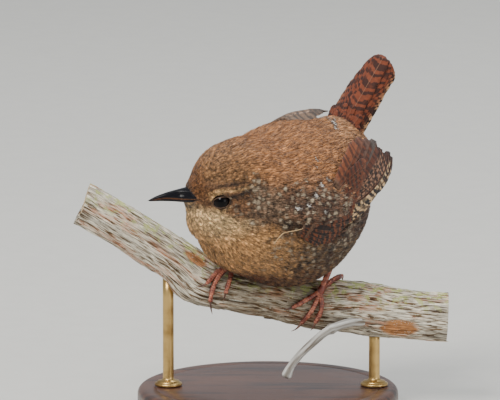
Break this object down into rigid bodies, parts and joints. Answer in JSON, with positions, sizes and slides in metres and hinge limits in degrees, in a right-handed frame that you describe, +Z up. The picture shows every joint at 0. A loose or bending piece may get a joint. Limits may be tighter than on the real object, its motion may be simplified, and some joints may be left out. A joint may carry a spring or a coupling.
{
  "type": "wren",
  "caption": "Life-size still model of a winter wren, tail cocked, squatting on a cut branch that short rods hold over a round base.",
  "frame": {"origin": "centre of the base's flat underside", "axes": "+Z up, +X along the perch to its lower end, -Y towards the side that the picture was taken from"},
  "size_m": [0.1094, 0.076, 0.1034],
  "materials": {
    "crown_feathers": "warm brown feathers of crown, face and throat",
    "body_feathers": "brown, barred and pale-spotted body feathers",
    "tail_feathers": "rusty tail feathers with dark bars",
    "wing_feathers": "rusty brown flight feathers and coverts, barred black and buff",
    "bill": "dark horn with a brown cutting edge",
    "eye": "wet, almost black eye",
    "leg_skin": "scaled red-brown legs and toes with dark claws",
    "bark": "weathered grey-brown bark with long ridges",
    "bare_twig": "bare, bleached grey twig",
    "base_wood": "dark turned hardwood, satin",
    "rod_brass": "satin brass rod with a turned foot"
  },
  "bodies": {
    "root": {"head": "crown_feathers", "torso": "body_feathers", "tail": "tail_feathers", "wing_left": "wing_feathers", "wing_right": "wing_feathers", "bill_upper": "bill", "bill_lower": "bill", "eye_left": "eye", "eye_right": "eye", "leg_left": "leg_skin", "leg_right": "leg_skin", "perch_branch": "bark", "perch_twig": "bare_twig", "stand_base": "base_wood", "stand_rod_left": "rod_brass", "stand_rod_right": "rod_brass"}
  },
  "joints": []
}
